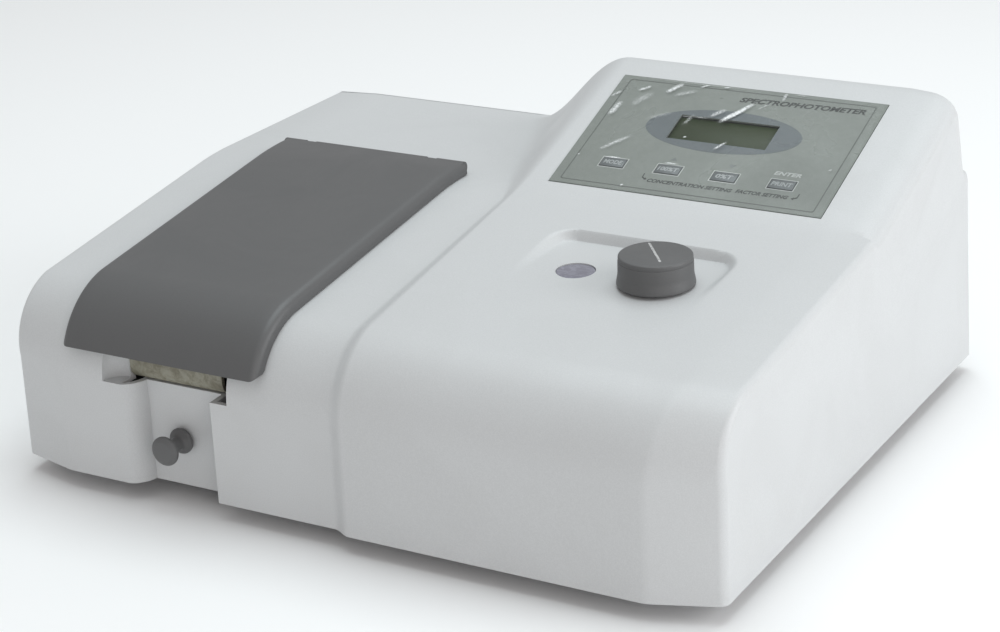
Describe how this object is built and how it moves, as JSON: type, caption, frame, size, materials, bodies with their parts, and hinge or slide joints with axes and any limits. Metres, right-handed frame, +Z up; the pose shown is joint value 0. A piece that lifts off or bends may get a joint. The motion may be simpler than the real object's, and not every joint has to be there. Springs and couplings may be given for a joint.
{
  "type": "spectrophotometer",
  "caption": "Bench spectrophotometer with a hinged sample-compartment lid, a pull-rod cell carriage, a wavelength knob beside its window and a sloping display console with keys.",
  "frame": {"origin": "middle of the bounding box's footprint, at the height of the feet's soles", "axes": "+X runs to the instrument's right as its user faces it, +Y to its rear, +Z up"},
  "size_m": [0.44, 0.3714, 0.1807],
  "materials": {
    "casing_paint": "satin moulded plastic, cool off-white",
    "steel_plate": "plain rolled steel",
    "grey_steel": "grey powder coat",
    "rubber_black": "matt black rubber",
    "black_paint": "matt black, anti-reflection",
    "sill_paint": "satin beige paint",
    "aluminium_plain": "milled aluminium",
    "brass_plain": "turned brass",
    "chrome_bright": "bright plating",
    "grey_plastic": "satin dark grey plastic",
    "black_plastic": "black plastic",
    "lens_glass": "clear lens",
    "clear_glass": "clear glass",
    "cast_metal": "dark cast metal",
    "mirror_coat": "front-surface mirror",
    "ceramic_white": "off-white ceramic",
    "circuit_board": "green solder mask",
    "display_green": "olive liquid-crystal display",
    "panel_print": "silver grey-green printed film",
    "key_print": "dark grey key caps",
    "copper_winding": "varnished copper wire"
  },
  "bodies": {
    "instrument": {"upper_casing": "casing_paint", "base_plate": "steel_plate", "rear_panel": "grey_steel", "foot_front_left": "rubber_black", "foot_front_right": "rubber_black", "foot_rear_left": "rubber_black", "foot_rear_right": "rubber_black", "sample_chamber": "black_paint", "chamber_sill": "sill_paint", "carriage_rail": "aluminium_plain", "rod_bush": "brass_plain", "lid_bracket_left": "steel_plate", "lid_bracket_right": "steel_plate", "lid_hinge_pin": "chrome_bright", "lid_seal": "rubber_black", "wavelength_window": "lens_glass", "drive_bracket": "aluminium_plain", "optics_plate": "cast_metal", "collimating_mirror": "mirror_coat", "folding_mirror": "mirror_coat", "entrance_slit": "black_paint", "condenser_lens": "lens_glass", "lamp_housing": "grey_steel", "lamp": "clear_glass", "lamp_socket": "ceramic_white", "detector_housing": "grey_steel", "phototube": "clear_glass", "main_board": "circuit_board", "display_board": "circuit_board", "display_module": "display_green", "panel_overlay": "panel_print", "transformer_core": "cast_metal", "transformer_coil": "copper_winding", "fan_frame": "black_plastic", "power_inlet": "black_plastic", "switch_frame": "black_plastic", "serial_port": "steel_plate"},
    "lid": {"sample_lid": "grey_plastic"},
    "cell_carriage_body": {"cell_carriage": "black_paint", "cuvette_1": "clear_glass", "cuvette_2": "clear_glass", "cuvette_3": "clear_glass", "cuvette_4": "clear_glass", "pull_rod": "chrome_bright", "pull_knob": "grey_plastic"},
    "wavelength_drive": {"wavelength_knob": "grey_plastic", "wavelength_shaft": "chrome_bright", "wavelength_dial": "aluminium_plain", "wavelength_cam": "brass_plain"},
    "grating_unit": {"grating_arm": "aluminium_plain", "grating_table": "aluminium_plain", "grating": "mirror_coat"},
    "shutter_body": {"shutter": "black_paint"},
    "fan": {"fan_rotor": "black_plastic"},
    "rocker": {"power_switch": "black_plastic"},
    "drawer": {"fuse_drawer": "black_plastic"},
    "key_mode_body": {"key_mode": "key_print"},
    "key_full_scale_body": {"key_full_scale": "key_print"},
    "key_zero_body": {"key_zero": "key_print"},
    "key_print_body": {"key_print": "key_print"}
  },
  "joints": [
    {"name": "lid_hinge", "type": "hinge", "parent": "instrument", "child": "lid", "pos_m": [-0.11325, 0.0457, 0.137], "axis": [-1, 0, 0], "range_deg": [0, 100]},
    {"name": "carriage_pull", "type": "slide", "parent": "instrument", "child": "cell_carriage_body", "axis": [0, -1, 0], "range_m": [0, 0.06]},
    {"name": "wavelength_turn", "type": "hinge", "parent": "instrument", "child": "wavelength_drive", "pos_m": [0.128, -0.0545, 0.12], "axis": [0, 0, 1], "range_deg": [-150, 150]},
    {"name": "grating_turn", "type": "hinge", "parent": "instrument", "child": "grating_unit", "pos_m": [0.042, -0.0273, 0.08], "axis": [0, 0, 1], "range_deg": [-8.1, 8.1]},
    {"name": "shutter_rise", "type": "slide", "parent": "instrument", "child": "shutter_body", "axis": [0, 0, 1], "range_m": [0, 0.0225]},
    {"name": "fan_spin", "type": "hinge", "parent": "instrument", "child": "fan", "pos_m": [0.015, 0.1567, 0.065], "axis": [0, 1, 0], "continuous": true},
    {"name": "power_rock", "type": "hinge", "parent": "instrument", "child": "rocker", "pos_m": [0.129, 0.1662, 0.055], "axis": [1, 0, 0], "range_deg": [-14, 0]},
    {"name": "fuse_drawer_pull", "type": "slide", "parent": "instrument", "child": "drawer", "axis": [0, 1, 0], "range_m": [0, 0.014]},
    {"name": "key_mode_press", "type": "slide", "parent": "instrument", "child": "key_mode_body", "axis": [0, 0.3338, -0.9426], "range_m": [0, 0.0008], "stiffness_N_per_m": 500},
    {"name": "key_full_scale_press", "type": "slide", "parent": "instrument", "child": "key_full_scale_body", "axis": [0, 0.3338, -0.9426], "range_m": [0, 0.0008], "stiffness_N_per_m": 500},
    {"name": "key_zero_press", "type": "slide", "parent": "instrument", "child": "key_zero_body", "axis": [0, 0.3338, -0.9426], "range_m": [0, 0.0008], "stiffness_N_per_m": 500},
    {"name": "key_print_press", "type": "slide", "parent": "instrument", "child": "key_print_body", "axis": [0, 0.3338, -0.9426], "range_m": [0, 0.0008], "stiffness_N_per_m": 500}
  ],
  "couplings": [
    {"joint": "grating_turn", "follows": "wavelength_turn", "ratio": 0.0533},
    {"joint": "shutter_rise", "follows": "lid_hinge", "m_per_rad": 0.0126}
  ]
}
